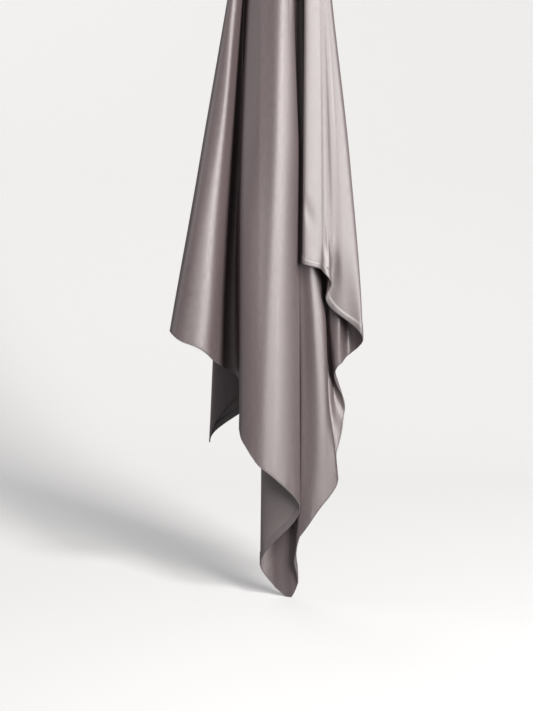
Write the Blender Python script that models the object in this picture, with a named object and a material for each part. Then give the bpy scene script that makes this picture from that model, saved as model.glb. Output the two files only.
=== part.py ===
# Square satin head scarf, held by a gathered stretch of one side and hanging in soft folds.
# Sizes are in millimetres and become metres when a mesh is made. The origin is the middle of the
# gather where the scarf is held, +Z is up and the front faces -Y. Drops are measured downwards.

import math
from collections import namedtuple

import bpy
import numpy as np

SIDE = 900.0
CLOTH_WALL = 1.2
HEM_WALL = 1.0
HEM_WIDTH = 8.0
SEAM_GAP = 0.3

# The frill is the cloth that stands above the grip
FRILL_HEIGHT = 28.0
FRILL_SPREAD = 1.5
GRIP_CENTRE_X = -3.9
GRIP_WIDTH_RATIO = 0.38
GRIP_DEPTH_RATIO = 0.5
BUNDLE_CENTRE_X = -14.3

# How finely the cloth is divided across the folds and down them, how far above the hem its folds
# start to turn to their headings at the hem, and limits for the turned hem at steep edges
COLUMN_PITCH = 12.5
LEAST_COLUMNS = 2
ROWS = 14
HEM_TURN_LENGTH = 90.0
HEM_SAMPLES = 25
MOST_EDGE_SHARE = 0.5
FLATTEST_HEM_SHARE = 0.42

METRES = 0.001
CREASE_ANGLE = 50.0

# A quarter ellipse as a Bezier curve has handles of this share of its half axes
ROUND = 0.55
LEAST_HANDLE = 0.3

SATIN_COLOUR = (0.20, 0.165, 0.17, 1.0)
HEM_COLOUR = (0.23, 0.195, 0.20, 1.0)
SATIN_ROUGHNESS = 0.38

# One row for each fold line from corner D round to the free side between corners A and B.
# turn is the heading across the cloth in plan, in degrees from +X towards +Y, where it crosses the
# line, and hem_turn the same at the hem. full widens or narrows the round of the fold there.
# Each station is (drop, x, y), and the last one is on the edge of the cloth.
Fold = namedtuple("Fold", "name turn hem_turn full stations")
FOLDS = (
    Fold("corner_d", 180, 180, 1.0, ((325, 44, -19), (646, 68, -24))),
    Fold("panel_fold", -90, -90, 0.8, ((325, 15.6, -31), (665, 13.5, -39))),
    Fold("panel_ridge", 12, 8, 0.8, ((325, 34, -30), (637, 37, -36.2), (672, 36, -38))),
    Fold(
        "panel_dip",
        8,
        12,
        1.0,
        ((325, 37, -29.3), (600, 41.5, -35), (637, 42, -35.8), (681, 44.5, -41)),
    ),
    Fold("dip_side", 8, 90, 1.0, ((325, 39.5, -29), (637, 47, -35), (692, 50.3, -37.5))),
    Fold(
        "flute",
        8,
        90,
        1.0,
        ((325, 42, -28.6), (600, 54, -33.2), (637, 54.5, -32.8), (670, 50.5, -30), (710, 43.4, -28.5)),
    ),
    Fold("panel_side", 10, 12, 1.0, ((325, 46, -27.9), (637, 66, -31), (737, 67, -26))),
    Fold(
        "right_fold",
        90,
        90,
        1.0,
        ((325, 50.7, -20), (546, 75.5, -23), (750, 91, -24), (764, 91.3, -23)),
    ),
    Fold("channel", 180, 180, 1.0, ((325, 42, -2), (637, 68, 4), (786, 75, 10))),
    Fold("fin_right", -90, -180, 1.0, ((325, 38, -9), (637, 60, -8), (741, 62.5, -8), (800, 60.5, -2))),
    Fold("fin_left", 90, 90, 1.3, ((325, 26, -9), (637, 40, -6), (741, 48, -4), (813, 55, 6))),
    Fold(
        "back_flute",
        90,
        140,
        1.0,
        ((325, 38, 11), (637, 58, 16), (741, 56, 18), (819, 55, 21), (859, 69, 18)),
    ),
    Fold(
        "side_valley",
        -160,
        -155,
        0.8,
        ((325, 18, 16), (637, 28, 18), (741, 35, 16), (830, 41.5, 13), (870, 50, 9), (912, 58.5, 3)),
    ),
    Fold(
        "drape_side",
        -90,
        -90,
        1.0,
        (
            (325, 22, -4),
            (637, 33, -11),
            (741, 43.5, -15),
            (845, 47.7, -14),
            (912, 56.4, -13),
            (948, 59.8, -10),
        ),
    ),
    Fold(
        "drape_ridge",
        -164,
        -170,
        0.8,
        ((325, 14, -11), (637, 23, -22), (741, 31.5, -24), (845, 41, -22), (973, 46.5, -15)),
    ),
    Fold(
        "drape_front",
        170,
        160,
        0.8,
        ((325, 4, -9), (637, 10, -18), (845, 14, -19), (1022, 10.4, -13)),
    ),
    Fold("drape_turn", 155, 120, 0.8, ((325, -4, -3), (637, 0, -8), (845, 4, -9), (1053, 3.3, -4))),
    Fold("tip_side", 155, 110, 0.8, ((325, -11, 0), (637, -10, -3), (845, -6, -3), (1085, 7.5, 5))),
    Fold("corner_c", 155, 150, 0.8, ((325, -18, 3), (637, -18, 2), (845, -15, 3), (1105, -3.2, 13))),
    Fold("tip_left", 160, 155, 0.8, ((325, -27, 5), (637, -28, 7), (845, -26, 9), (1093, -21, 19))),
    Fold(
        "drape_fold",
        -90,
        -90,
        1.0,
        ((325, -39, 1), (637, -39.5, 4), (930, -39.7, 10), (1062, -41, 15)),
    ),
    Fold(
        "front_fold",
        -90,
        -90,
        0.6,
        ((325, 2.5, -24), (468, 6.6, -24), (546, 9.4, -22), (637, 9.4, -21), (985, 10.1, -22)),
    ),
    Fold(
        "front_ridge",
        -165,
        -162,
        0.65,
        ((325, -10, -33), (585, -14.5, -42), (715, -20, -44), (942, -24, -45)),
    ),
    Fold(
        "front_side",
        167,
        172,
        0.65,
        ((325, -39, -27.5), (455, -39.5, -35), (637, -40.5, -44), (926, -44, -47)),
    ),
    Fold(
        "front_round",
        143,
        145,
        0.65,
        ((325, -51.5, -17), (455, -54.5, -25), (637, -60, -37.5), (897, -63.5, -39)),
    ),
    Fold("front_back", 90, 90, 1.0, ((325, -57, -5), (637, -67, -10), (868, -68, -12))),
    Fold("valley_side", 90, 85, 1.0, ((325, -57, 4), (637, -70, 12), (829, -67.2, 12))),
    Fold(
        "left_valley",
        180,
        180,
        1.4,
        ((325, -62, 13), (468, -65, 19), (624, -73.2, 27), (767, -78, 28), (810, -78, 26)),
    ),
    Fold("left_inner", -112, -125, 0.8, ((325, -65, 0), (637, -87, 2), (797, -97, 0))),
    Fold(
        "left_ridge",
        180,
        180,
        1.3,
        ((325, -76, -15), (455, -88, -17), (637, -119, -21), (769, -139, -22)),
    ),
    Fold("left_fold", 90, 90, 1.0, ((325, -83.2, 2), (637, -137.8, -1), (754, -158.5, -3))),
    Fold("left_back", 0, 0, 1.0, ((325, -60, 25), (637, -84, 37), (763, -92, 37))),
    Fold("hidden_fold", 90, 90, 1.0, ((325, 14, 33), (637, 24, 45), (770, 22, 45))),
    Fold("tail_front", 180, 180, 1.0, ((325, -54, 38.5), (637, -60, 51), (838, -65, 52))),
    Fold(
        "corner_b",
        90,
        90,
        1.5,
        ((325, -71, 44), (637, -97.5, 57), (793, -103.2, 57), (905, -108, 57)),
    ),
    Fold("tail_back", 0, 0, 1.0, ((325, -52, 52), (637, -60, 65), (868, -69, 63))),
    Fold("free_side", 0, 0, 1.0, ((325, -21, 51), (600, -18, 61), (740, -27, 61), (822, -44, 61))),
)
SHARP_CORNERS = ("corner_b",)


def smooth_through(knots, values, at):
    """A cubic through the values at the knots that never overshoots them."""
    knots = np.asarray(knots, float)
    values = np.asarray(values, float)
    steps = np.diff(knots)
    slopes = np.diff(values) / steps
    product = slopes[:-1] * slopes[1:]
    total = slopes[:-1] + slopes[1:]
    middle = np.where(product > 0, 2 * product / np.where(total == 0, 1, total), 0)
    tangents = np.concatenate([slopes[:1], middle, slopes[-1:]])
    at = np.asarray(at, float)
    cell = np.clip(np.searchsorted(knots, at, side="right") - 1, 0, len(steps) - 1)
    step = steps[cell]
    t = (at - knots[cell]) / step
    inside = np.clip(t, 0, 1)
    curve = (
        (2 * inside**3 - 3 * inside**2 + 1) * values[cell]
        + (inside**3 - 2 * inside**2 + inside) * step * tangents[cell]
        + (3 * inside**2 - 2 * inside**3) * values[cell + 1]
        + (inside**3 - inside**2) * step * tangents[cell + 1]
    )
    outside = np.where(t < 0, t * tangents[cell], (t - inside) * tangents[cell + 1]) * step
    return curve + np.where(t == inside, 0, outside)


def line_knots(fold):
    """The fold's stations with the frill and the grip added above them."""
    _, upper_x, upper_y = fold.stations[0]
    grip_x = GRIP_CENTRE_X + GRIP_WIDTH_RATIO * (upper_x - BUNDLE_CENTRE_X)
    grip_y = GRIP_DEPTH_RATIO * upper_y
    frill_x = GRIP_CENTRE_X + FRILL_SPREAD * (grip_x - GRIP_CENTRE_X)
    frill_y = FRILL_SPREAD * grip_y
    return [(-FRILL_HEIGHT, frill_x, frill_y), (0.0, grip_x, grip_y), *fold.stations]


def hem_drop(fold):
    return fold.stations[-1][0]


def heading(fold, drop):
    """The heading across the cloth at this drop, as a unit vector in plan."""
    near_hem = np.clip(1 - (hem_drop(fold) - drop) / HEM_TURN_LENGTH, 0, 1)
    share = near_hem * near_hem * (3 - 2 * near_hem)
    turn = np.radians(fold.turn + (fold.hem_turn - fold.turn) * share)
    return np.stack([np.cos(turn), np.sin(turn)], axis=-1)


def on_line(fold, level):
    """Places and headings on a fold line, where level runs from -1 at the frill to 1 at the hem."""
    drop = np.where(level < 0, level * FRILL_HEIGHT, level * hem_drop(fold))
    knots = np.array(line_knots(fold))
    plan = np.stack([smooth_through(knots[:, 0], knots[:, k], drop) for k in (1, 2)], axis=-1)
    return plan, heading(fold, drop)


def handle(step, direction, full):
    """The length of a Bezier handle that leaves in this direction."""
    reach = np.abs((step * direction).sum(axis=-1))
    chord = np.linalg.norm(step, axis=-1)
    return (ROUND * full * np.maximum(reach, LEAST_HANDLE * chord))[..., None] * direction


def across(first, second, share, level):
    """Places in plan between two neighbouring fold lines."""
    start, leaving = on_line(first, level)
    end, arriving = on_line(second, level)
    step = end - start
    first_handle = start + handle(step, leaving, first.full)
    second_handle = end - handle(step, arriving, second.full)
    t = np.broadcast_to(share, level.shape)[..., None]
    return (
        (1 - t) ** 3 * start
        + 3 * (1 - t) ** 2 * t * first_handle
        + 3 * (1 - t) * t**2 * second_handle
        + t**3 * end
    )


def hem_lengths():
    """The length of the hem between each pair of neighbouring fold lines."""
    lengths = []
    for first, second in zip(FOLDS[:-1], FOLDS[1:]):
        share = np.linspace(0, 1, HEM_SAMPLES)
        plan = across(first, second, share, np.ones_like(share))
        rise = np.linspace(hem_drop(first), hem_drop(second), HEM_SAMPLES)
        lengths.append(np.linalg.norm(np.diff(np.column_stack([plan, rise]), axis=0), axis=1).sum())
    return lengths


def hem_runs(lengths):
    """The hem's drop against the length along it, in runs that meet at the sharp corners."""
    distance = np.concatenate([[0.0], np.cumsum(lengths)])
    cuts = [0] + [k for k, fold in enumerate(FOLDS) if fold.name in SHARP_CORNERS] + [len(FOLDS) - 1]
    return [
        (distance[a : b + 1], [hem_drop(fold) for fold in FOLDS[a : b + 1]])
        for a, b in zip(cuts[:-1], cuts[1:])
    ]


def drop_of_hem(runs, distance):
    for knots, drops in runs:
        if distance <= knots[-1] + 1e-9:
            break
    return float(smooth_through(knots, drops, distance))


def columns():
    """(first fold, second fold, share, drop of the hem) for each column of points across the cloth."""
    lengths = hem_lengths()
    runs = hem_runs(lengths)
    found = []
    for k, length in enumerate(lengths):
        count = max(LEAST_COLUMNS, round(length / COLUMN_PITCH))
        last = k == len(lengths) - 1
        for share in np.linspace(0, 1, count + 1)[: None if last else -1]:
            place = sum(lengths[:k]) + share * length
            found.append((FOLDS[k], FOLDS[k + 1], float(share), drop_of_hem(runs, place)))
    return found


def column_points(column, levels, shares=None):
    first, second, share, drop = column
    plan = across(first, second, share if shares is None else shares, levels)
    height = np.where(levels < 0, -levels * FRILL_HEIGHT, -levels * drop)
    return np.column_stack([plan, height])


def hem_rises(found):
    """How far up each column the turned hem reaches, so that its width is even along a sloping edge."""
    edge = np.array([column_points(column, np.ones(1))[0] for column in found])
    along = np.gradient(edge, axis=0)
    flat = np.linalg.norm(along[:, :2], axis=1) / np.linalg.norm(along, axis=1)
    return HEM_WIDTH / np.maximum(flat, FLATTEST_HEM_SHARE)


def edge_shares(column, levels):
    """How much of the stretch beside a free edge its side hem takes up, at each level."""
    first, second, _, _ = column
    start, _ = on_line(first, levels)
    end, _ = on_line(second, levels)
    return np.minimum(HEM_WIDTH / np.linalg.norm(end - start, axis=1), MOST_EDGE_SHARE)


def cloth_grid():
    """The middle surface of the cloth as points[column, row]. Row 1 and the last but one lie on the hems."""
    found = columns()
    rises = hem_rises(found)
    first_share = found[1][2]
    last_share = found[-2][2]
    grid = []
    for column, rise in zip(found, rises):
        first, second, share, drop = column
        body = np.linspace(0, 1, ROWS) * (drop - rise) / drop
        levels = np.concatenate([[-1.0, HEM_WIDTH / FRILL_HEIGHT - 1.0], body, [1.0]])
        shares = np.full(len(levels), share)
        edge = edge_shares(column, levels)
        if first is FOLDS[0] and share > 0:
            shares = edge + (1 - edge) * (share - first_share) / (1 - first_share)
        if second is FOLDS[-1] and share < 1:
            shares = (1 - edge) * share / last_share
        grid.append(column_points(column, levels, shares))
    return np.array(grid)


def first_column_at(name):
    """The column of the grid that lies on this fold line."""
    return [first.name for first, _, _, _ in columns()].index(name)


def grid_normals(points):
    """Unit normals of the satin side."""
    over = np.gradient(points, axis=0)
    down = np.gradient(points, axis=1)
    normals = np.cross(over, down)
    return normals / np.linalg.norm(normals, axis=2, keepdims=True)


def sheet_solid(name, points, normals, near, far, material):
    """A closed wall from a grid of points, between two distances along its normals."""
    over, down = points.shape[:2]
    count = over * down
    sides = [(points + normals * height).reshape(-1, 3) for height in (far, near)]
    vertices = np.concatenate(sides)
    faces = []

    def add(a, b, c, d):
        faces.append((a, b, c))
        faces.append((a, c, d))

    for i in range(over - 1):
        for j in range(down - 1):
            a, b, c, d = i * down + j, (i + 1) * down + j, (i + 1) * down + j + 1, i * down + j + 1
            add(a, b, c, d)
            faces.append((a + count, c + count, b + count))
            faces.append((a + count, d + count, c + count))
    rim = [(i, 0) for i in range(over)] + [(over - 1, j) for j in range(1, down)]
    rim += [(i, down - 1) for i in range(over - 2, -1, -1)] + [(0, j) for j in range(down - 2, 0, -1)]
    rim = [i * down + j for i, j in rim]
    for a, b in zip(rim, rim[1:] + rim[:1]):
        add(b, a, a + count, b + count)
    mesh = bpy.data.meshes.new(name)
    mesh.from_pydata((vertices * METRES).tolist(), [], faces)
    mesh.materials.append(material)
    mesh.shade_smooth()
    mesh.set_sharp_from_angle(angle=math.radians(CREASE_ANGLE))
    solid = bpy.data.objects.new(name, mesh)
    bpy.context.scene.collection.objects.link(solid)
    return solid


def trimmed(grid, gap):
    """The grid with its first and last columns moved in by this distance along it."""
    grid = grid.copy()
    for edge, inner in ((0, 1), (-1, -2)):
        step = grid[inner] - grid[edge]
        grid[edge] += step * gap / np.linalg.norm(step[:, :3], axis=1, keepdims=True)
    return grid


def hem_strip(name, both, gap, along_side, material):
    """A turned hem on the wrong side of the cloth, from points and normals, trimmed at both ends."""
    if along_side:
        both = trimmed(both.swapaxes(0, 1), gap).swapaxes(0, 1)
    else:
        both = trimmed(both, gap)
    near = -(CLOTH_WALL / 2 + SEAM_GAP)
    return sheet_solid(name, both[:, :, :3], both[:, :, 3:], near - HEM_WALL, near, material)


def satin(name, colour):
    material = bpy.data.materials.new(name)
    material.use_nodes = True
    shader = material.node_tree.nodes["Principled BSDF"]
    shader.inputs["Base Color"].default_value = colour
    shader.inputs["Roughness"].default_value = SATIN_ROUGHNESS
    shader.inputs["Metallic"].default_value = 0.0
    return material


def clear_scene():
    for old in list(bpy.data.objects):
        bpy.data.objects.remove(old, do_unlink=True)


def main():
    clear_scene()
    points = cloth_grid()
    normals = grid_normals(points)
    cloth = satin("Satin", SATIN_COLOUR)
    hem = satin("Turned hem", HEM_COLOUR)
    sheet_solid("satin_square", points, normals, -CLOTH_WALL / 2, CLOTH_WALL / 2, cloth)
    both = np.concatenate([points, normals], axis=2)
    corner_c = first_column_at("corner_c")
    corner_b = first_column_at("corner_b")
    hem_strip("hem_held_edge", both[:, :2], SEAM_GAP / 2, False, hem)
    hem_strip("hem_inner_side", both[:2, 1:-1], SEAM_GAP, True, hem)
    hem_strip("hem_right_edge", both[: corner_c + 1, -2:], SEAM_GAP / 2, False, hem)
    hem_strip("hem_left_edge", both[corner_c : corner_b + 1, -2:], SEAM_GAP / 2, False, hem)
    hem_strip("hem_tail_back", both[corner_b:, -2:], SEAM_GAP / 2, False, hem)
    hem_strip("hem_free_side", both[-2:, 1:-1], SEAM_GAP, True, hem)


main()
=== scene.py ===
import math
from collections import namedtuple

import bpy
import numpy as np
from bpy.props import FloatProperty, FloatVectorProperty, PointerProperty
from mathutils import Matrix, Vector


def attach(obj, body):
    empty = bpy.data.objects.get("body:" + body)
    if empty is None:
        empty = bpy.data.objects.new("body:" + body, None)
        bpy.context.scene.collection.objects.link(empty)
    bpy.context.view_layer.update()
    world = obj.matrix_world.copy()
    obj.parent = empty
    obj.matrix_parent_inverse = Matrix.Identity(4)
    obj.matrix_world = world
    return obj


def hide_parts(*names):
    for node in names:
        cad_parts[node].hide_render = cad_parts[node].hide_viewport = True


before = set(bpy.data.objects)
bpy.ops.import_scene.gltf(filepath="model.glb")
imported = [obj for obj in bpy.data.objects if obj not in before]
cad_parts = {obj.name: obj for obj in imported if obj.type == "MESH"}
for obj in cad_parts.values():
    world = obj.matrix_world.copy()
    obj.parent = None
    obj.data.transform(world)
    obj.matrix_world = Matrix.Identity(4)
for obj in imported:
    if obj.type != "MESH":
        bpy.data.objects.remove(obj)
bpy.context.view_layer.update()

bl_info = {
    "name": "Hanging satin scarf",
    "version": (1, 0, 0),
    "blender": (4, 5, 0),
    "location": "View3D > Sidebar > Scarf",
    "description": "A square satin scarf with sewn hems, gathered at one side and hanging in folds",
    "category": "Object",
}

# Sizes in the tables are in millimetres, and drops are measured down from the held gather
METRES = 0.001
HEM_WIDTH = 8.0
FRILL_HEIGHT = 28.0
FRILL_SPREAD = 1.5
GRIP_CENTRE_X = -3.9
GRIP_WIDTH_RATIO = 0.38
GRIP_DEPTH_RATIO = 0.5
BUNDLE_CENTRE_X = -14.3
HEM_TURN_LENGTH = 90.0
HEM_SAMPLES = 25
MOST_EDGE_SHARE = 0.5
FLATTEST_HEM_SHARE = 0.42
ROUND = 0.55
LEAST_HANDLE = 0.3

# How finely the cloth is divided
COLUMN_PITCH = 4.2
LEAST_COLUMNS = 4
NECK_ROWS = 4
BODY_ROWS = 88
HEM_ROWS = 4

Fold = namedtuple("Fold", "name turn hem_turn full stations")
FOLDS = (
    Fold("corner_d", 180, 180, 1.0, ((325, 44, -19), (646, 68, -24))),
    Fold("panel_fold", -90, -90, 0.8, ((325, 15.6, -31), (665, 13.5, -39))),
    Fold("panel_ridge", 12, 8, 0.8, ((325, 34, -30), (637, 37, -36.2), (672, 36, -38))),
    Fold(
        "panel_dip", 8, 12, 1.0,
        ((325, 37, -29.3), (600, 41.5, -35), (637, 42, -35.8), (681, 44.5, -41)),
    ),
    Fold("dip_side", 8, 90, 1.0, ((325, 39.5, -29), (637, 47, -35), (692, 50.3, -37.5))),
    Fold(
        "flute", 8, 90, 1.0,
        ((325, 42, -28.6), (600, 54, -33.2), (637, 54.5, -32.8), (670, 50.5, -30), (710, 43.4, -28.5)),
    ),
    Fold("panel_side", 10, 12, 1.0, ((325, 46, -27.9), (637, 66, -31), (737, 67, -26))),
    Fold(
        "right_fold", 90, 90, 1.0,
        ((325, 50.7, -20), (546, 75.5, -23), (750, 91, -24), (764, 91.3, -23)),
    ),
    Fold("channel", 180, 180, 1.0, ((325, 42, -2), (637, 68, 4), (786, 75, 10))),
    Fold("fin_right", -90, -180, 1.0, ((325, 38, -9), (637, 60, -8), (741, 62.5, -8), (800, 60.5, -2))),
    Fold("fin_left", 90, 90, 1.3, ((325, 26, -9), (637, 40, -6), (741, 48, -4), (813, 55, 6))),
    Fold(
        "back_flute", 90, 140, 1.0,
        ((325, 38, 11), (637, 58, 16), (741, 56, 18), (819, 55, 21), (859, 69, 18)),
    ),
    Fold(
        "side_valley", -160, -155, 0.8,
        ((325, 18, 16), (637, 28, 18), (741, 35, 16), (830, 41.5, 13), (870, 50, 9), (912, 58.5, 3)),
    ),
    Fold(
        "drape_side", -90, -90, 1.0,
        (
            (325, 22, -4),
            (637, 33, -11),
            (741, 43.5, -15),
            (845, 47.7, -14),
            (912, 56.4, -13),
            (948, 59.8, -10),
        ),
    ),
    Fold(
        "drape_ridge", -164, -170, 0.8,
        ((325, 14, -11), (637, 23, -22), (741, 31.5, -24), (845, 41, -22), (973, 46.5, -15)),
    ),
    Fold(
        "drape_front", 170, 160, 0.8,
        ((325, 4, -9), (637, 10, -18), (845, 14, -19), (1022, 10.4, -13)),
    ),
    Fold("drape_turn", 155, 120, 0.8, ((325, -4, -3), (637, 0, -8), (845, 4, -9), (1053, 3.3, -4))),
    Fold("tip_side", 155, 110, 0.8, ((325, -11, 0), (637, -10, -3), (845, -6, -3), (1085, 7.5, 5))),
    Fold("corner_c", 155, 150, 0.8, ((325, -18, 3), (637, -18, 2), (845, -15, 3), (1105, -3.2, 13))),
    Fold("tip_left", 160, 155, 0.8, ((325, -27, 5), (637, -28, 7), (845, -26, 9), (1093, -21, 19))),
    Fold(
        "drape_fold", -90, -90, 1.0,
        ((325, -39, 1), (637, -39.5, 4), (930, -39.7, 10), (1062, -41, 15)),
    ),
    Fold(
        "front_fold", -90, -90, 0.6,
        ((325, 2.5, -24), (468, 6.6, -24), (546, 9.4, -22), (637, 9.4, -21), (985, 10.1, -22)),
    ),
    Fold(
        "front_ridge", -165, -162, 0.65,
        ((325, -10, -33), (585, -14.5, -42), (715, -20, -44), (942, -24, -45)),
    ),
    Fold(
        "front_side", 167, 172, 0.65,
        ((325, -39, -27.5), (455, -39.5, -35), (637, -40.5, -44), (926, -44, -47)),
    ),
    Fold(
        "front_round", 143, 145, 0.65,
        ((325, -51.5, -17), (455, -54.5, -25), (637, -60, -37.5), (897, -63.5, -39)),
    ),
    Fold("front_back", 90, 90, 1.0, ((325, -57, -5), (637, -67, -10), (868, -68, -12))),
    Fold("valley_side", 90, 85, 1.0, ((325, -57, 4), (637, -70, 12), (829, -67.2, 12))),
    Fold(
        "left_valley", 180, 180, 1.4,
        ((325, -62, 13), (468, -65, 19), (624, -73.2, 27), (767, -78, 28), (810, -78, 26)),
    ),
    Fold("left_inner", -112, -125, 0.8, ((325, -65, 0), (637, -87, 2), (797, -97, 0))),
    Fold(
        "left_ridge", 180, 180, 1.3,
        ((325, -76, -15), (455, -88, -17), (637, -119, -21), (769, -139, -22)),
    ),
    Fold("left_fold", 90, 90, 1.0, ((325, -83.2, 2), (637, -137.8, -1), (754, -158.5, -3))),
    Fold("left_back", 0, 0, 1.0, ((325, -60, 25), (637, -84, 37), (763, -92, 37))),
    Fold("hidden_fold", 90, 90, 1.0, ((325, 14, 33), (637, 24, 45), (770, 22, 45))),
    Fold("tail_front", 180, 180, 1.0, ((325, -54, 38.5), (637, -60, 51), (838, -65, 52))),
    Fold(
        "corner_b", 90, 90, 1.5,
        ((325, -71, 44), (637, -97.5, 57), (793, -103.2, 57), (905, -108, 57)),
    ),
    Fold("tail_back", 0, 0, 1.0, ((325, -52, 52), (637, -60, 65), (868, -69, 63))),
    Fold("free_side", 0, 0, 1.0, ((325, -21, 51), (600, -18, 61), (740, -27, 61), (822, -44, 61))),
)
SHARP_CORNERS = ("corner_b",)

# Soft creases: each starts at a share of the way from a fold line to the next one and runs down
# between two drops, leaning across by some millimetres. A positive depth is a ridge on the satin side.
Crease = namedtuple("Crease", "fold share start end lean width depth")
CREASES = (
    Crease("panel_ridge", 0.30, 200, 640, 5, 4.0, 0.25),
    Crease("panel_side", 0.40, 240, 640, -4, 9.0, -0.6),
    Crease("panel_fold", 0.45, 575, 625, 12, 4.0, 1.6),
    Crease("right_fold", 0.30, 60, 520, 5, 4.5, 0.8),
    Crease("back_flute", 0.40, 200, 640, -6, 6.0, -1.0),
    Crease("back_flute", 0.75, 80, 480, 3, 5.0, 0.9),
    Crease("drape_front", 0.40, 930, 965, 14, 4.0, -1.3),
    Crease("corner_c", 0.50, 260, 700, -4, 5.0, 0.8),
    Crease("drape_fold", 0.45, 180, 860, 5, 6.0, -0.9),
    Crease("front_fold", 0.55, 60, 420, 3, 3.0, -0.5),
    Crease("front_ridge", 0.35, 120, 760, -3, 4.5, 0.6),
    Crease("front_ridge", 0.80, 420, 880, 3, 6.0, -0.7),
    Crease("front_side", 0.50, 90, 560, 2, 3.5, -0.6),
    Crease("front_round", 0.60, 300, 820, -3, 5.0, 0.8),
    Crease("valley_side", 0.50, 60, 430, 2, 3.0, 0.5),
    Crease("left_inner", 0.45, 240, 730, -5, 7.0, -0.9),
    Crease("left_ridge", 0.50, 110, 600, 4, 6.0, 0.8),
    Crease("left_ridge", 0.80, 480, 720, -6, 8.0, -0.8),
    Crease("left_fold", 0.30, 80, 480, 4, 5.0, 0.9),
    Crease("left_fold", 0.55, 330, 740, -7, 8.0, -1.2),
    Crease("left_fold", 0.80, 150, 620, 5, 6.0, 1.0),
    Crease("left_back", 0.25, 60, 420, 3, 5.0, -0.9),
    Crease("left_back", 0.55, 280, 740, -6, 7.0, 1.1),
    Crease("left_back", 0.85, 160, 560, 4, 5.0, -0.8),
    Crease("hidden_fold", 0.40, 220, 760, 5, 6.0, 0.8),
    Crease("tail_back", 0.45, 90, 520, 4, 4.5, 0.9),
    Crease("tail_back", 0.70, 360, 790, -6, 6.0, -1.1),
)

# The hem draws the cloth up into small uneven puckers, which fade out above it
PUCKER_DEPTH = 0.32
PUCKER_FADE = 16.0
PUCKER_LENGTHS = (13.7, 21.3, 34.9)

# The turned hem in section, as (distance in from the edge, height over the middle of the cloth) in
# millimetres. It starts on the wrong side, goes round the edge and ends on the satin side.
HEM_SECTION = (
    (7.9, -0.42),
    (8.05, -0.70),
    (7.7, -0.98),
    (4.5, -1.12),
    (1.4, -1.10),
    (0.2, -0.98),
    (-0.35, -0.62),
    (-0.50, -0.12),
    (-0.30, 0.34),
    (0.15, 0.52),
    (0.75, 0.50),
    (1.05, 0.38),
    (0.5, 0.36),
    (0.1, 0.0),
    (0.5, -0.40),
)
HEM_END_GAP = 0.15


class ScarfCloth(bpy.types.PropertyGroup):
    thickness: FloatProperty(
        name="Cloth thickness",
        description="From the satin side to the wrong side",
        default=0.0007,
        subtype="DISTANCE",
        unit="LENGTH",
    )
    crease_scale: FloatProperty(
        name="Crease depth",
        description="How strongly the soft creases show",
        default=1.0,
        subtype="FACTOR",
    )
    satin_colour: FloatVectorProperty(
        name="Satin colour",
        description="Colour of the glossy side",
        default=(0.172, 0.128, 0.134),
        size=3,
        subtype="COLOR",
    )
    back_colour: FloatVectorProperty(
        name="Wrong side colour",
        description="Colour of the dull side",
        default=(0.190, 0.151, 0.155),
        size=3,
        subtype="COLOR",
    )
    hem_colour: FloatVectorProperty(
        name="Hem colour",
        description="Colour of the turned hems",
        default=(0.190, 0.157, 0.161),
        size=3,
        subtype="COLOR",
    )
    thread_pitch: FloatProperty(
        name="Thread pitch",
        description="Distance between neighbouring warp threads",
        default=0.00042,
        subtype="DISTANCE",
        unit="LENGTH",
    )


class ScarfSewing(bpy.types.PropertyGroup):
    stitch_length: FloatProperty(
        name="Stitch length",
        description="From one needle hole to the next",
        default=0.0026,
        subtype="DISTANCE",
        unit="LENGTH",
    )
    thread_width: FloatProperty(
        name="Thread width",
        description="Across one stitch",
        default=0.00042,
        subtype="DISTANCE",
        unit="LENGTH",
    )
    outer_row: FloatProperty(
        name="Outer row",
        description="From the edge to the outer row of stitches",
        default=0.0036,
        subtype="DISTANCE",
        unit="LENGTH",
    )
    inner_row: FloatProperty(
        name="Inner row",
        description="From the edge to the inner row of stitches",
        default=0.0073,
        subtype="DISTANCE",
        unit="LENGTH",
    )
    thread_colour: FloatVectorProperty(
        name="Thread colour",
        description="Colour of the sewing thread",
        default=(0.235, 0.205, 0.212),
        size=3,
        subtype="COLOR",
    )


class ScarfStage(bpy.types.PropertyGroup):
    camera_distance: FloatProperty(
        name="Camera distance",
        description="From the scarf to the camera",
        default=5.5,
        subtype="DISTANCE",
        unit="LENGTH",
    )
    camera_height: FloatProperty(
        name="Camera elevation",
        description="How far the camera looks down",
        default=math.radians(4.0),
        subtype="ANGLE",
        unit="ROTATION",
    )
    strip_power: FloatProperty(
        name="Strip light",
        description="Power of the tall light that draws the highlights",
        default=88.0,
        subtype="POWER",
        unit="POWER",
    )
    key_power: FloatProperty(
        name="Key light",
        description="Power of the high soft light",
        default=36.0,
        subtype="POWER",
        unit="POWER",
    )
    fill_power: FloatProperty(
        name="Fill light",
        description="Power of the weak light from the left",
        default=11.0,
        subtype="POWER",
        unit="POWER",
    )
    back_power: FloatProperty(
        name="Back light",
        description="Power of the weak light from behind",
        default=8.0,
        subtype="POWER",
        unit="POWER",
    )
    wall_glow: FloatProperty(
        name="Backdrop glow",
        description="Light that the backdrop gives by itself",
        default=0.315,
        subtype="FACTOR",
    )


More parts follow.
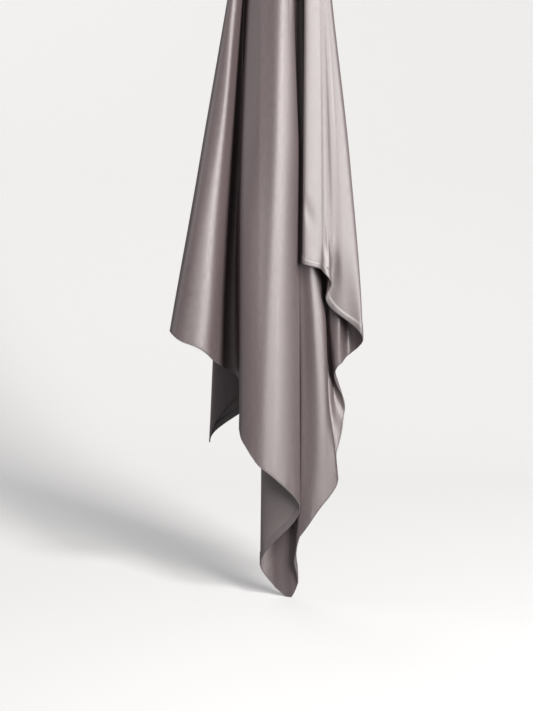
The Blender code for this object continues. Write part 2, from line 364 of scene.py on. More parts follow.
def smooth_through(knots, values, at):
    """A cubic through the values at the knots that never overshoots them."""
    knots = np.asarray(knots, float)
    values = np.asarray(values, float)
    steps = np.diff(knots)
    slopes = np.diff(values) / steps
    product = slopes[:-1] * slopes[1:]
    total = slopes[:-1] + slopes[1:]
    middle = np.where(product > 0, 2 * product / np.where(total == 0, 1, total), 0)
    tangents = np.concatenate([slopes[:1], middle, slopes[-1:]])
    at = np.asarray(at, float)
    cell = np.clip(np.searchsorted(knots, at, side="right") - 1, 0, len(steps) - 1)
    step = steps[cell]
    t = (at - knots[cell]) / step
    inside = np.clip(t, 0, 1)
    curve = (
        (2 * inside**3 - 3 * inside**2 + 1) * values[cell]
        + (inside**3 - 2 * inside**2 + inside) * step * tangents[cell]
        + (3 * inside**2 - 2 * inside**3) * values[cell + 1]
        + (inside**3 - inside**2) * step * tangents[cell + 1]
    )
    outside = np.where(t < 0, t * tangents[cell], (t - inside) * tangents[cell + 1]) * step
    return curve + np.where(t == inside, 0, outside)


def line_knots(fold):
    """The fold's stations with the frill and the grip added above them."""
    _, upper_x, upper_y = fold.stations[0]
    grip_x = GRIP_CENTRE_X + GRIP_WIDTH_RATIO * (upper_x - BUNDLE_CENTRE_X)
    grip_y = GRIP_DEPTH_RATIO * upper_y
    frill_x = GRIP_CENTRE_X + FRILL_SPREAD * (grip_x - GRIP_CENTRE_X)
    frill_y = FRILL_SPREAD * grip_y
    return [(-FRILL_HEIGHT, frill_x, frill_y), (0.0, grip_x, grip_y), *fold.stations]


def hem_drop(fold):
    return fold.stations[-1][0]


def heading(fold, drop):
    """The heading across the cloth at this drop, as a unit vector in plan."""
    near_hem = np.clip(1 - (hem_drop(fold) - drop) / HEM_TURN_LENGTH, 0, 1)
    share = near_hem * near_hem * (3 - 2 * near_hem)
    turn = np.radians(fold.turn + (fold.hem_turn - fold.turn) * share)
    return np.stack([np.cos(turn), np.sin(turn)], axis=-1)


def on_line(fold, level):
    """Places and headings on a fold line, where level runs from -1 at the frill to 1 at the hem."""
    drop = np.where(level < 0, level * FRILL_HEIGHT, level * hem_drop(fold))
    knots = np.array(line_knots(fold))
    plan = np.stack([smooth_through(knots[:, 0], knots[:, k], drop) for k in (1, 2)], axis=-1)
    return plan, heading(fold, drop)


def handle(step, direction, full):
    """The length of a Bezier handle that leaves in this direction."""
    reach = np.abs((step * direction).sum(axis=-1))
    chord = np.linalg.norm(step, axis=-1)
    return (ROUND * full * np.maximum(reach, LEAST_HANDLE * chord))[..., None] * direction


def across(first, second, share, level):
    """Places in plan between two neighbouring fold lines."""
    start, leaving = on_line(first, level)
    end, arriving = on_line(second, level)
    step = end - start
    first_handle = start + handle(step, leaving, first.full)
    second_handle = end - handle(step, arriving, second.full)
    t = np.broadcast_to(share, level.shape)[..., None]
    return (
        (1 - t) ** 3 * start
        + 3 * (1 - t) ** 2 * t * first_handle
        + 3 * (1 - t) * t**2 * second_handle
        + t**3 * end
    )


def hem_lengths():
    """The length of the hem between each pair of neighbouring fold lines."""
    lengths = []
    for first, second in zip(FOLDS[:-1], FOLDS[1:]):
        share = np.linspace(0, 1, HEM_SAMPLES)
        plan = across(first, second, share, np.ones_like(share))
        rise = np.linspace(hem_drop(first), hem_drop(second), HEM_SAMPLES)
        lengths.append(np.linalg.norm(np.diff(np.column_stack([plan, rise]), axis=0), axis=1).sum())
    return lengths


def hem_runs(lengths):
    """The hem's drop against the length along it, in runs that meet at the sharp corners."""
    distance = np.concatenate([[0.0], np.cumsum(lengths)])
    cuts = [0] + [k for k, fold in enumerate(FOLDS) if fold.name in SHARP_CORNERS] + [len(FOLDS) - 1]
    return [
        (distance[a : b + 1], [hem_drop(fold) for fold in FOLDS[a : b + 1]])
        for a, b in zip(cuts[:-1], cuts[1:])
    ]


def drop_of_hem(runs, distance):
    for knots, drops in runs:
        if distance <= knots[-1] + 1e-9:
            break
    return float(smooth_through(knots, drops, distance))


def columns():
    """(first fold, second fold, share, drop of the hem) for each column of points across the cloth."""
    lengths = hem_lengths()
    runs = hem_runs(lengths)
    found = []
    for k, length in enumerate(lengths):
        count = max(LEAST_COLUMNS, round(length / COLUMN_PITCH))
        last = k == len(lengths) - 1
        for share in np.linspace(0, 1, count + 1)[: None if last else -1]:
            place = sum(lengths[:k]) + share * length
            found.append((FOLDS[k], FOLDS[k + 1], float(share), drop_of_hem(runs, place)))
    return found


def column_points(column, levels, shares=None):
    first, second, share, drop = column
    plan = across(first, second, share if shares is None else shares, levels)
    height = np.where(levels < 0, -levels * FRILL_HEIGHT, -levels * drop)
    return np.column_stack([plan, height])


def hem_rises(found):
    """How far up each column the turned hem reaches, so that its width is even along a sloping edge."""
    edge = np.array([column_points(column, np.ones(1))[0] for column in found])
    along = np.gradient(edge, axis=0)
    flat = np.linalg.norm(along[:, :2], axis=1) / np.linalg.norm(along, axis=1)
    return HEM_WIDTH / np.maximum(flat, FLATTEST_HEM_SHARE)


def edge_shares(column, levels):
    """How much of the stretch beside a free edge its side hem takes up, at each level."""
    first, second, _, _ = column
    start, _ = on_line(first, levels)
    end, _ = on_line(second, levels)
    return np.minimum(HEM_WIDTH / np.linalg.norm(end - start, axis=1), MOST_EDGE_SHARE)


def row_levels(drop, rise):
    """Levels down one column: through the frill's hem, the neck, the body and the lower hem."""
    hem_level = HEM_WIDTH / FRILL_HEIGHT - 1.0
    upper_hem = np.linspace(-1.0, hem_level, HEM_ROWS + 1)[:-1]
    neck = np.linspace(hem_level, 0.0, NECK_ROWS + 1)[:-1]
    body_end = (drop - rise) / drop
    body = np.linspace(0.0, body_end, BODY_ROWS + 1)[:-1]
    lower_hem = np.linspace(body_end, 1.0, HEM_ROWS + 1)
    return np.concatenate([upper_hem, neck, body, lower_hem])


def side_hem_shares(share, edge, start):
    """The share of a column beside a free edge, where the columns up to start make its turned hem."""
    if share <= start:
        return edge * share / start
    return edge + (1 - edge) * (share - start) / (1 - start)


def cloth_grid():
    """The middle surface of the cloth as points[column, row], its columns and its side hem columns."""
    found = columns()
    rises = hem_rises(found)
    first_share = found[HEM_ROWS][2]
    last_share = 1 - found[-1 - HEM_ROWS][2]
    grid = []
    for column, rise in zip(found, rises):
        first, second, share, drop = column
        levels = row_levels(drop, rise)
        shares = np.full(len(levels), share)
        edge = edge_shares(column, levels)
        if first is FOLDS[0]:
            shares = side_hem_shares(share, edge, first_share)
        if second is FOLDS[-1]:
            shares = 1 - side_hem_shares(1 - share, edge, last_share)
        grid.append(column_points(column, levels, shares))
    return np.array(grid), found


def grid_normals(points):
    """Unit normals of the satin side."""
    over = np.gradient(points, axis=0)
    down = np.gradient(points, axis=1)
    normals = np.cross(over, down)
    return normals / np.linalg.norm(normals, axis=2, keepdims=True)


def fade(position, start, end):
    """A smooth hump that is 0 at both ends and 1 in the middle."""
    t = np.clip((position - start) / (end - start), 0, 1)
    return np.sin(np.pi * t) ** 2


def creased(points, found, scale):
    """The cloth with its soft creases and the puckers along its hems."""
    normals = grid_normals(points)
    lengths = np.linalg.norm(np.diff(points, axis=0), axis=2)
    reach = np.vstack([np.zeros(points.shape[1]), np.cumsum(lengths, axis=0)])
    drops = -points[:, :, 2]
    names = [first.name for first, _, _, _ in found]
    offset = np.zeros(points.shape[:2])
    for crease in CREASES:
        start = names.index(crease.fold)
        count = names.count(crease.fold)
        centre_column = start + crease.share * count
        lower = int(centre_column)
        rest = centre_column - lower
        centre = reach[lower] * (1 - rest) + reach[min(lower + 1, len(reach) - 1)] * rest
        along = np.clip((drops - crease.start) / (crease.end - crease.start), 0, 1)
        distance = reach - centre[None, :] - crease.lean * (along - 0.5)
        profile = np.exp(-((distance / crease.width) ** 2))
        offset += crease.depth * scale * profile * fade(drops, crease.start, crease.end)
    hem_reach = reach[:, -1]
    waves = [np.sin(2 * np.pi * hem_reach / length + length) for length in PUCKER_LENGTHS]
    wave = sum(waves) / len(PUCKER_LENGTHS)
    up_from_hem = drops[:, -1:] - drops
    offset += PUCKER_DEPTH * wave[:, None] * np.exp(-((up_from_hem / PUCKER_FADE) ** 2))
    return points + normals * offset[:, :, None]


def deselect_all():
    if bpy.context.mode != "OBJECT":
        bpy.ops.object.mode_set(mode="OBJECT")
    bpy.ops.object.select_all(action="DESELECT")


def new_piece(name, vertices, faces, finishes, uvs, face_slots=None):
    """A smooth-shaded piece from points in millimetres, with its cloth coordinates in metres."""
    mesh = bpy.data.meshes.new(name)
    mesh.from_pydata((np.asarray(vertices) * METRES).tolist(), [], faces)
    for finish in finishes:
        mesh.materials.append(finish)
    if face_slots is not None:
        mesh.polygons.foreach_set("material_index", np.asarray(face_slots, np.int32))
    layer = mesh.uv_layers.new(name="Cloth")
    corners = np.empty(len(mesh.loops), np.int32)
    mesh.loops.foreach_get("vertex_index", corners)
    layer.data.foreach_set("uv", (uvs[corners] * METRES).ravel())
    mesh.shade_smooth()
    piece = bpy.data.objects.new(name, mesh)
    bpy.context.scene.collection.objects.link(piece)
    return piece


def shell_faces(over, down):
    """Faces of a closed shell over two grids of points, and a slot for each: satin for the satin side and the
    rim, wrong side for the back.
    """
    index = np.arange(over * down).reshape(over, down)
    a, b, c, d = index[:-1, :-1], index[1:, :-1], index[1:, 1:], index[:-1, 1:]
    satin = np.stack([a, b, c, d], axis=-1).reshape(-1, 4)
    back = np.stack([a, d, c, b], axis=-1).reshape(-1, 4) + over * down
    rim = np.concatenate([index[:, 0], index[-1, 1:], index[-2::-1, -1], index[0, -2:0:-1]])
    following = np.roll(rim, -1)
    edge = np.stack([following, rim, rim + over * down, following + over * down], axis=-1)
    faces = np.concatenate([satin, back, edge])
    slots = np.concatenate([np.zeros(len(satin)), np.ones(len(back)), np.zeros(len(edge))])
    return faces, slots


def cloth_coordinates(points):
    """Distances across and down the cloth, in millimetres, for the weave."""
    over = np.linalg.norm(np.diff(points, axis=0), axis=2).mean(axis=1)
    across_cloth = np.concatenate([[0.0], np.cumsum(over)])
    down_cloth = -points[:, :, 2]
    return np.stack([np.broadcast_to(across_cloth[:, None], down_cloth.shape), down_cloth], axis=-1)


# The weave. Relief is how much of the bump's height the warp and the weft make, and one float of the
# weft passes over five warp threads. Each noise has its scale over the cloth, its scale down the cloth
# and its detail.
WARP_RELIEF = 0.35
WEFT_RELIEF = 0.15
WEFT_FLOAT = 5
SLUBS = (700.0, 90.0, 3.0)
CROSS_SLUBS = (160.0, 620.0, 2.0)
CLOUDS = (9.0, 4.0, 2.0)


def weave_group():
    """The satin weave: fine warp threads, slubs along them and a slow change of tone."""
    group = bpy.data.node_groups.new("Satin weave", "ShaderNodeTree")
    group.interface.new_socket("Cloth place", in_out="INPUT", socket_type="NodeSocketVector")
    for name in ("Thread pitch", "Slub strength"):
        group.interface.new_socket(name, in_out="INPUT", socket_type="NodeSocketFloat")
    for name in ("Height", "Tone", "Gloss change"):
        group.interface.new_socket(name, in_out="OUTPUT", socket_type="NodeSocketFloat")
    nodes, links = group.nodes, group.links
    start = nodes.new("NodeGroupInput")
    end = nodes.new("NodeGroupOutput")
    split = nodes.new("ShaderNodeSeparateXYZ")
    links.new(start.outputs["Cloth place"], split.inputs[0])

    def maths(kind, first, second=None):
        node = nodes.new("ShaderNodeMath")
        node.operation = kind
        for socket, value in zip(node.inputs, (first, second)):
            if value is None:
                continue
            if isinstance(value, (int, float)):
                socket.default_value = value
            else:
                links.new(value, socket)
        return node.outputs[0]

    def noise(scale_over, scale_down, detail):
        stretch = nodes.new("ShaderNodeMapping")
        stretch.inputs["Scale"].default_value = (scale_over, scale_down, 1.0)
        links.new(start.outputs["Cloth place"], stretch.inputs["Vector"])
        texture = nodes.new("ShaderNodeTexNoise")
        texture.inputs["Scale"].default_value = 1.0
        texture.inputs["Detail"].default_value = detail
        links.new(stretch.outputs[0], texture.inputs["Vector"])
        return texture.outputs["Fac"]

    turns = maths("DIVIDE", split.outputs["X"], start.outputs["Thread pitch"])
    warp = maths("SINE", maths("MULTIPLY", turns, 2 * math.pi))
    weft_turns = maths("DIVIDE", split.outputs["Y"], start.outputs["Thread pitch"])
    weft = maths("SINE", maths("MULTIPLY", weft_turns, 2 * math.pi / WEFT_FLOAT))
    slubs = noise(*SLUBS)
    cross_slubs = noise(*CROSS_SLUBS)
    clouds = noise(*CLOUDS)
    threads = maths("ADD", maths("MULTIPLY", warp, WARP_RELIEF), maths("MULTIPLY", weft, WEFT_RELIEF))
    uneven = maths("MULTIPLY", maths("ADD", slubs, cross_slubs), start.outputs["Slub strength"])
    links.new(maths("ADD", threads, uneven), end.inputs["Height"])
    tone = maths("ADD", maths("MULTIPLY", uneven, 0.5), maths("MULTIPLY", clouds, 0.5))
    links.new(tone, end.inputs["Tone"])
    links.new(maths("SUBTRACT", slubs, 0.5), end.inputs["Gloss change"])
    return group


def cloth_material(name, weave, colour, pitch, look):
    """A woven cloth material. look holds its gloss and how far the weave changes it."""
    material = bpy.data.materials.new(name)
    material.use_nodes = True
    nodes, links = material.node_tree.nodes, material.node_tree.links
    shader = nodes["Principled BSDF"]
    place = nodes.new("ShaderNodeUVMap")
    place.uv_map = "Cloth"
    threads = nodes.new("ShaderNodeGroup")
    threads.node_tree = weave
    threads.inputs["Thread pitch"].default_value = pitch
    threads.inputs["Slub strength"].default_value = look.slub
    links.new(place.outputs[0], threads.inputs["Cloth place"])
    tone = nodes.new("ShaderNodeValToRGB")
    for element, position, share in zip(tone.color_ramp.elements, TONE_RANGE, (1 - look.tone, 1 + look.tone)):
        element.position = position
        element.color = (*[channel * share for channel in colour], 1.0)
    links.new(threads.outputs["Tone"], tone.inputs[0])
    links.new(tone.outputs[0], shader.inputs["Base Color"])
    gloss = nodes.new("ShaderNodeMath")
    gloss.operation = "MULTIPLY_ADD"
    gloss.inputs[1].default_value = look.gloss_change
    gloss.inputs[2].default_value = look.roughness
    links.new(threads.outputs["Gloss change"], gloss.inputs[0])
    links.new(gloss.outputs[0], shader.inputs["Roughness"])
    bump = nodes.new("ShaderNodeBump")
    bump.inputs["Strength"].default_value = look.bump
    bump.inputs["Distance"].default_value = RELIEF
    links.new(threads.outputs["Height"], bump.inputs["Height"])
    links.new(bump.outputs[0], shader.inputs["Normal"])
    shader.inputs["Metallic"].default_value = look.metal
    shader.inputs["Specular IOR Level"].default_value = 1.0
    shader.inputs["IOR"].default_value = look.shine
    return material


# The gloss of each material, and how far the weave changes its tone, gloss and relief
Look = namedtuple("Look", "slub tone gloss_change roughness bump metal shine")
SATIN_LOOK = Look(0.5, 0.22, 0.30, 0.45, 0.35, 0.12, 1.8)
BACK_LOOK = Look(0.6, 0.18, 0.20, 0.50, 0.40, 0.08, 1.9)
HEM_LOOK = Look(0.5, 0.05, 0.10, 0.47, 0.30, 0.10, 1.8)
THREAD_LOOK = Look(0.4, 0.04, 0.05, 0.55, 0.10, 0.0, 1.5)
TONE_RANGE = (0.25, 0.75)
RELIEF = 0.0001


def materials():
    """The scarf's materials, made once."""
    cloth = bpy.context.scene.scarf_cloth
    sewing = bpy.context.scene.scarf_sewing
    if "Satin side" not in bpy.data.materials:
        weave = weave_group()
        cloth_material("Satin side", weave, cloth.satin_colour, cloth.thread_pitch, SATIN_LOOK)
        cloth_material("Wrong side", weave, cloth.back_colour, cloth.thread_pitch, BACK_LOOK)
        cloth_material("Turned hem", weave, cloth.hem_colour, cloth.thread_pitch, HEM_LOOK)
        cloth_material("Sewing thread", weave, sewing.thread_colour, cloth.thread_pitch, THREAD_LOOK)
    return bpy.data.materials


def hanging_cloth():
    """The creased middle surface, its normals, cloth coordinates and column names."""
    points, found = cloth_grid()
    points = creased(points, found, bpy.context.scene.scarf_cloth.crease_scale)
    return points, grid_normals(points), cloth_coordinates(points), [first.name for first, _, _, _ in found]


def hem_bands():
    """Each hem's rows of points from the cloth's edge inwards: points, normals and cloth coordinates."""
    points, normals, places, names = hanging_cloth()
    corner_c = names.index("corner_c")
    corner_b = names.index("corner_b")
    both = np.concatenate([points, normals, places], axis=2)
    band = HEM_ROWS + 1
    from_left = both[:band, HEM_ROWS:-HEM_ROWS].swapaxes(0, 1)
    from_right = both[: -band - 1 : -1, HEM_ROWS:-HEM_ROWS].swapaxes(0, 1)
    lower = both[:, : -band - 1 : -1]
    return {
        "hem_held_edge": both[:, :band],
        "hem_inner_side": from_left,
        "hem_right_edge": lower[: corner_c + 1],
        "hem_left_edge": lower[corner_c : corner_b + 1],
        "hem_tail_back": lower[corner_b:],
        "hem_free_side": from_right,
    }


def in_band(band, inwards, height):
    """A line along the hem, some way in from the edge and above the cloth's middle, with its places."""
    position = np.clip(inwards / HEM_WIDTH * HEM_ROWS, 0, HEM_ROWS)
    lower = min(int(position), HEM_ROWS - 1)
    rest = position - lower
    line = band[:, lower] * (1 - rest) + band[:, lower + 1] * rest
    outwards = band[:, 0, :3] - band[:, 1, :3]
    outwards /= np.linalg.norm(outwards, axis=1, keepdims=True)
    points = line[:, :3] + line[:, 3:6] * height + outwards * max(-inwards, 0.0)
    return points, line[:, 6:8]


def trimmed(band, gap):
    """The band with its two ends moved in along it."""
    band = band.copy()
    for edge, inner in ((0, 1), (-1, -2)):
        step = band[inner] - band[edge]
        band[edge] += step * gap / np.linalg.norm(step[:, :3], axis=1, keepdims=True)
    return band


def make_hem(name, band, material):
    """A turned hem: its section carried along the edge and closed at both ends."""
    band = trimmed(band, HEM_END_GAP)
    rings, places = [], []
    for inwards, height in HEM_SECTION:
        points, place = in_band(band, inwards, height)
        rings.append(points)
        places.append(place + [0.0, inwards])
    count, length = len(rings), len(band)
    vertices = np.stack(rings, axis=1).reshape(-1, 3)
    uvs = np.stack(places, axis=1).reshape(-1, 2)
    faces = []
    for i in range(length - 1):
        for k in range(count):
            after = (k + 1) % count
            faces.append((i * count + k, i * count + after, (i + 1) * count + after, (i + 1) * count + k))
    faces.append(tuple(range(count))[::-1])
    faces.append(tuple((length - 1) * count + k for k in range(count)))
    piece = new_piece(name, vertices, faces, [material], uvs)
    deselect_all()
    piece.select_set(True)
    bpy.context.view_layer.objects.active = piece
    bpy.ops.object.mode_set(mode="EDIT")
    bpy.ops.mesh.select_all(action="SELECT")
    bpy.ops.mesh.normals_make_consistent(inside=False)
    bpy.ops.object.mode_set(mode="OBJECT")
    return piece


# A stitch takes up this share of its pitch to each side of its middle, and is this flat. Its row stands
# off the satin side and the turned hem, and stops this far from both ends of the hem, in millimetres.
STITCH_REACH = 0.43
STITCH_FLATNESS = 0.8
STITCH_LIFT = 0.06
STITCH_BACK_HEIGHT = -1.14
ROW_MARGIN = 1.5


def one_stitch():
    """One stitch, a short plump thread lying along X, as points in millimetres and faces."""
    sewing = bpy.context.scene.scarf_sewing
    deselect_all()
    bpy.ops.mesh.primitive_uv_sphere_add(
        segments=6, ring_count=5, radius=1.0, location=(0, 0, 0), rotation=(0, math.pi / 2, 0)
    )
    thread = bpy.context.object
    bpy.ops.object.transform_apply(location=False, rotation=True, scale=False)
    bpy.ops.object.mode_set(mode="EDIT")
    bpy.ops.mesh.select_all(action="SELECT")
    half = sewing.thread_width / METRES / 2
    length = sewing.stitch_length / METRES * STITCH_REACH
    bpy.ops.transform.resize(value=(length, half, half * STITCH_FLATNESS), center_override=(0, 0, 0))
    bpy.ops.object.mode_set(mode="OBJECT")
    points = np.array([vertex.co[:] for vertex in thread.data.vertices])
    thread.data.calc_loop_triangles()
    faces = np.array([triangle.vertices[:] for triangle in thread.data.loop_triangles])
    bpy.data.objects.remove(thread, do_unlink=True)
    return points, faces


def stitch_places(points, normals, places, pitch):
    """Centres, directions, normals and cloth places for stitches at an even pitch along a line."""
    steps = np.linalg.norm(np.diff(points, axis=0), axis=1)
    reach = np.concatenate([[0.0], np.cumsum(steps)])
    count = int((reach[-1] - 2 * ROW_MARGIN) / pitch)
    at = np.linspace(ROW_MARGIN + pitch / 2, reach[-1] - ROW_MARGIN - pitch / 2, count)

    def along(values):
        return np.stack([np.interp(at, reach, values[:, k]) for k in range(values.shape[1])], axis=1)

    centre = along(points)
    direction = along(np.gradient(points, reach, axis=0))
    direction /= np.linalg.norm(direction, axis=1, keepdims=True)
    normal = along(normals)
    normal -= direction * (normal * direction).sum(axis=1, keepdims=True)
    normal /= np.linalg.norm(normal, axis=1, keepdims=True)
    return centre, direction, normal, along(places)


def make_stitches(name, band, material):
    """Two rows of stitches along a hem, on both sides of the cloth."""
    sewing = bpy.context.scene.scarf_sewing
    cloth = bpy.context.scene.scarf_cloth
    template, template_faces = one_stitch()
    vertices, faces, uvs = [], [], []
    total = 0
    pitch = sewing.stitch_length / METRES
    satin_height = cloth.thickness / METRES / 2 + STITCH_LIFT
    for inwards in (sewing.outer_row / METRES, sewing.inner_row / METRES):
        for height in (satin_height, STITCH_BACK_HEIGHT):
            points, places = in_band(band, inwards, height)
            centre, direction, normal, place = stitch_places(points, band[:, 1, 3:6], places, pitch)
            side = np.cross(normal, direction)
            turned = (
                centre[:, None]
                + template[None, :, :1] * direction[:, None]
                + template[None, :, 1:2] * side[:, None]
                + template[None, :, 2:] * normal[:, None]
            )
            count = len(centre)
            vertices.append(turned.reshape(-1, 3))
            offsets = total + np.arange(count) * len(template)
            faces.append((template_faces[None] + offsets[:, None, None]).reshape(-1, 3))
            uvs.append(np.repeat(place, len(template), axis=0))
            total += count * len(template)
    faces = np.concatenate(faces).tolist()
    return new_piece(name, np.concatenate(vertices), faces, [material], np.concatenate(uvs))


class SCARF_OT_cloth(bpy.types.Operator):
    """Hang the satin square in its folds, as a thin shell with a satin side and a wrong side"""

    bl_idname = "scarf.cloth"
    bl_label = "Hang the satin square"

    def execute(self, context):
        points, normals, places, _ = hanging_cloth()
        half = context.scene.scarf_cloth.thickness / METRES / 2
        vertices = np.stack([points + normals * half, points - normals * half]).reshape(-1, 3)
        faces, slots = shell_faces(*points.shape[:2])
        uvs = np.concatenate([places.reshape(-1, 2)] * 2)
        finishes = [materials()["Satin side"], materials()["Wrong side"]]
        piece = new_piece("Satin_Square", vertices, faces.tolist(), finishes, uvs, slots)
        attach(piece, "root")
        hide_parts("satin_square")
        return {"FINISHED"}


class SCARF_OT_hems(bpy.types.Operator):
    """Turn a narrow hem round each edge of the square"""

    bl_idname = "scarf.hems"
    bl_label = "Turn the hems"

    def execute(self, context):
        for node, band in hem_bands().items():
            piece = make_hem(node.title(), band, materials()["Turned hem"])
            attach(piece, "root")
            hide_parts(node)
        return {"FINISHED"}


class SCARF_OT_stitches(bpy.types.Operator):
    """Sew two rows of stitches along each hem"""

    bl_idname = "scarf.stitches"
    bl_label = "Sew the hems"

    def execute(self, context):
        for node, band in hem_bands().items():
            piece = make_stitches(node.replace("hem", "stitches").title(), band, materials()["Sewing thread"])
            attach(piece, "root")
        return {"FINISHED"}


# The studio, in metres, with the camera's sensor in millimetres
VIEW_HEIGHT = 0.924
VIEW_CENTRE = (-0.033, 0.0, -0.787)
SENSOR_HEIGHT = 24.0
CLIP_END = 60.0
FLOOR_LEVEL = -1.1065
FLOOR_SLOPE = math.radians(8.0)
FLOOR_SIZE = (14.0, 8.5)
FLOOR_CENTRE_Y = -2.0
WALL_HEIGHT = 5.0
BEND_OFFSET = 1.6
BEND_SEGMENTS = 24
PAPER_COLOUR = (0.82, 0.82, 0.82)
PAPER_ROUGHNESS = 0.9
MOTTLE_SCALE = 3.0
MOTTLE_DARKEST = 0.99
AIR_COLOUR = (0.82, 0.80, 0.81, 1.0)
AIR_STRENGTH = 0.21
CLOTH_MIDDLE = (-0.01, 0.0, -0.70)

# Soft lights, each with the name of the stage's value that holds its power
SoftLight = namedtuple("SoftLight", "name power place target size colour")
SOFT_LIGHTS = (
    SoftLight("Strip light", "strip_power", (1.45, -2.5, 0.05), (0, 0, 0.05), (0.8, 2.4), (1.0, 0.985, 0.96)),
    SoftLight("Key light", "key_power", (1.05, -1.8, 1.35), CLOTH_MIDDLE, (0.5, 0.5), (1.0, 0.985, 0.96)),
    SoftLight("Fill light", "fill_power", (-3.0, 0.2, 0.3), CLOTH_MIDDLE, (1.6, 1.6), (1.0, 0.97, 0.975)),
    SoftLight("Back light", "back_power", (-0.8, 1.75, 0.55), CLOTH_MIDDLE, (1.3, 1.3), (1.0, 0.985, 0.97)),
)

# How the paper glows from the floor to the top of the backdrop, as shares of its full glow
GLOW_HEIGHTS = (-1.2, -0.6)
GLOW_LEVELS = ((0.0, 0.66), (0.15, 0.76), (0.33, 0.96), (0.5, 0.88), (1.0, 0.74))


def paper_material(glow):
    """A matt paper with faint mottling and a little light of its own, most low on the backdrop.

    It is clear from its back, so that a camera behind it sees the cloth.
    """
    material = bpy.data.materials.new("Backdrop paper")
    material.use_nodes = True
    nodes, links = material.node_tree.nodes, material.node_tree.links
    shader = nodes["Principled BSDF"]
    place = nodes.new("ShaderNodeTexCoord")
    mottle = nodes.new("ShaderNodeTexNoise")
    mottle.inputs["Scale"].default_value = MOTTLE_SCALE
    links.new(place.outputs["Object"], mottle.inputs["Vector"])
    tone = nodes.new("ShaderNodeValToRGB")
    tone.color_ramp.elements[0].color = (*[channel * MOTTLE_DARKEST for channel in PAPER_COLOUR], 1.0)
    tone.color_ramp.elements[1].color = (*PAPER_COLOUR, 1.0)
    links.new(mottle.outputs["Fac"], tone.inputs[0])
    links.new(tone.outputs[0], shader.inputs["Base Color"])
    shader.inputs["Roughness"].default_value = PAPER_ROUGHNESS
    shader.inputs["Specular IOR Level"].default_value = 0.1
    split = nodes.new("ShaderNodeSeparateXYZ")
    links.new(place.outputs["Object"], split.inputs[0])
    height = nodes.new("ShaderNodeMapRange")
    height.inputs["From Min"].default_value = GLOW_HEIGHTS[0]
    height.inputs["From Max"].default_value = GLOW_HEIGHTS[1]
    links.new(split.outputs["Z"], height.inputs["Value"])
    level = nodes.new("ShaderNodeValToRGB")
    while len(level.color_ramp.elements) < len(GLOW_LEVELS):
        level.color_ramp.elements.new(0.5)
    for element, (position, share) in zip(level.color_ramp.elements, GLOW_LEVELS):
        element.position = position
        element.color = (*[channel * share for channel in PAPER_COLOUR], 1.0)
    links.new(height.outputs[0], level.inputs[0])
    links.new(level.outputs[0], shader.inputs["Emission Color"])
    shader.inputs["Emission Strength"].default_value = glow
    facing = nodes.new("ShaderNodeNewGeometry")
    shown = nodes.new("ShaderNodeMath")
    shown.operation = "SUBTRACT"
    shown.inputs[0].default_value = 1.0
    links.new(facing.outputs["Backfacing"], shown.inputs[1])
    links.new(shown.outputs[0], shader.inputs["Alpha"])
    return material


def aim(thing, target):
    thing.rotation_euler = (Vector(target) - thing.location).to_track_quat("-Z", "Y").to_euler()


def soft_light(kind, power):
    light = bpy.data.lights.new(kind.name, "AREA")
    light.shape = "RECTANGLE"
    light.size, light.size_y = kind.size
    light.energy = power
    light.color = kind.colour
    lamp = bpy.data.objects.new(kind.name, light)
    lamp.location = kind.place
    aim(lamp, kind.target)
    bpy.context.scene.collection.objects.link(lamp)


def studio_sweep():
    """A floor that curves up into the backdrop, from a plane extruded up at its back and bevelled."""
    deselect_all()
    bpy.ops.mesh.primitive_plane_add(size=1.0, location=(0, 0, FLOOR_LEVEL))
    sweep = bpy.context.object
    sweep.name = "Studio_Sweep"
    bpy.ops.object.mode_set(mode="EDIT")
    bpy.ops.mesh.select_all(action="SELECT")
    bpy.ops.transform.resize(value=(*FLOOR_SIZE, 1.0))
    bpy.ops.transform.translate(value=(0, FLOOR_CENTRE_Y, 0))
    bpy.ops.mesh.select_mode(type="EDGE")
    bpy.ops.mesh.select_all(action="DESELECT")
    bpy.ops.object.mode_set(mode="OBJECT")
    back = max(vertex.co.y for vertex in sweep.data.vertices)
    for edge in sweep.data.edges:
        edge.select = all(abs(sweep.data.vertices[k].co.y - back) < 1e-4 for k in edge.vertices)
    bpy.ops.object.mode_set(mode="EDIT")
    bpy.ops.mesh.extrude_region_move(TRANSFORM_OT_translate={"value": (0, 0, WALL_HEIGHT)})
    bpy.ops.object.mode_set(mode="OBJECT")
    for edge in sweep.data.edges:
        ends = [sweep.data.vertices[k].co for k in edge.vertices]
        edge.select = all(abs(end.y - back) < 1e-4 and abs(end.z) < 1e-4 for end in ends)
    bpy.ops.object.mode_set(mode="EDIT")
    bpy.ops.mesh.bevel(offset=BEND_OFFSET, segments=BEND_SEGMENTS, affect="EDGES")
    bpy.ops.mesh.select_all(action="SELECT")
    bpy.ops.transform.rotate(value=-FLOOR_SLOPE, orient_axis="X", center_override=(0, 0, FLOOR_LEVEL))
    bpy.ops.object.mode_set(mode="OBJECT")
    bpy.ops.object.transform_apply(location=True, rotation=True, scale=True)
    sweep.data.shade_smooth()
    sweep.visible_diffuse = False
    sweep.visible_glossy = False
    return sweep


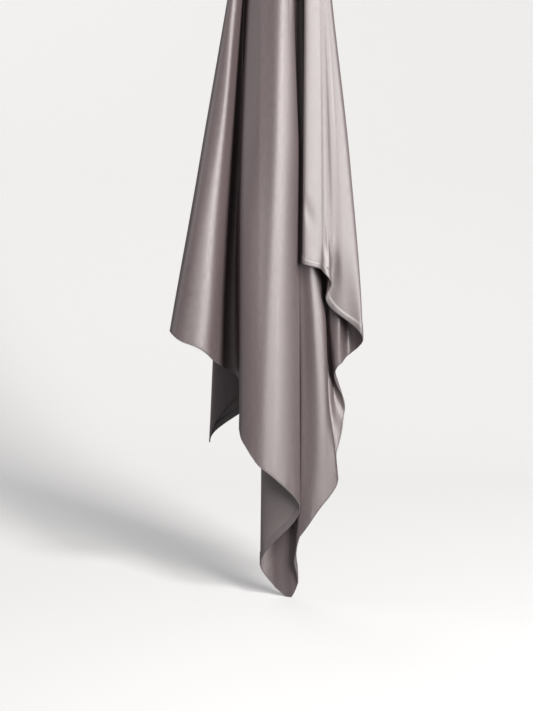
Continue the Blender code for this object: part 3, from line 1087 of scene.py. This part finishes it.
class SCARF_OT_stage(bpy.types.Operator):
    """Set the pale floor and backdrop, the soft studio lights and the camera"""

    bl_idname = "scarf.stage"
    bl_label = "Set the studio"

    def execute(self, context):
        stage = context.scene.scarf_stage
        sweep = studio_sweep()
        sweep.data.materials.append(paper_material(stage.wall_glow))
        centre = Vector(VIEW_CENTRE)
        camera_data = bpy.data.cameras.new("Camera")
        camera_data.sensor_fit = "VERTICAL"
        camera_data.sensor_height = SENSOR_HEIGHT
        camera_data.lens = camera_data.sensor_height * stage.camera_distance / VIEW_HEIGHT
        camera_data.clip_end = CLIP_END
        camera = bpy.data.objects.new("Camera", camera_data)
        height = math.sin(stage.camera_height)
        camera.location = centre + Vector((0, -math.cos(stage.camera_height), height)) * stage.camera_distance
        aim(camera, centre)
        context.scene.collection.objects.link(camera)
        context.scene.camera = camera
        for kind in SOFT_LIGHTS:
            soft_light(kind, getattr(stage, kind.power))
        world = bpy.data.worlds.new("Studio air")
        world.use_nodes = True
        world.node_tree.nodes["Background"].inputs["Color"].default_value = AIR_COLOUR
        world.node_tree.nodes["Background"].inputs["Strength"].default_value = AIR_STRENGTH
        context.scene.world = world
        context.scene.view_settings.view_transform = "Standard"
        return {"FINISHED"}


class SCARF_PT_panel(bpy.types.Panel):
    """Sizes, colours and steps for the scarf"""

    bl_idname = "SCARF_PT_panel"
    bl_label = "Hanging satin scarf"
    bl_space_type = "VIEW_3D"
    bl_region_type = "UI"
    bl_category = "Scarf"

    def draw(self, context):
        layout = self.layout
        for group in (context.scene.scarf_cloth, context.scene.scarf_sewing, context.scene.scarf_stage):
            box = layout.box()
            for name in group.__annotations__:
                box.prop(group, name)
        for operator in (SCARF_OT_cloth, SCARF_OT_hems, SCARF_OT_stitches, SCARF_OT_stage):
            layout.operator(operator.bl_idname)


CLASSES = (
    ScarfCloth,
    ScarfSewing,
    ScarfStage,
    SCARF_OT_cloth,
    SCARF_OT_hems,
    SCARF_OT_stitches,
    SCARF_OT_stage,
    SCARF_PT_panel,
)


def register():
    for item in CLASSES:
        bpy.utils.register_class(item)
    bpy.types.Scene.scarf_cloth = PointerProperty(type=ScarfCloth)
    bpy.types.Scene.scarf_sewing = PointerProperty(type=ScarfSewing)
    bpy.types.Scene.scarf_stage = PointerProperty(type=ScarfStage)


def unregister():
    del bpy.types.Scene.scarf_stage
    del bpy.types.Scene.scarf_sewing
    del bpy.types.Scene.scarf_cloth
    for item in reversed(CLASSES):
        bpy.utils.unregister_class(item)


def main():
    register()
    bpy.ops.scarf.cloth()
    bpy.ops.scarf.hems()
    bpy.ops.scarf.stitches()
    bpy.ops.scarf.stage()


if __name__ == "__main__":
    main()
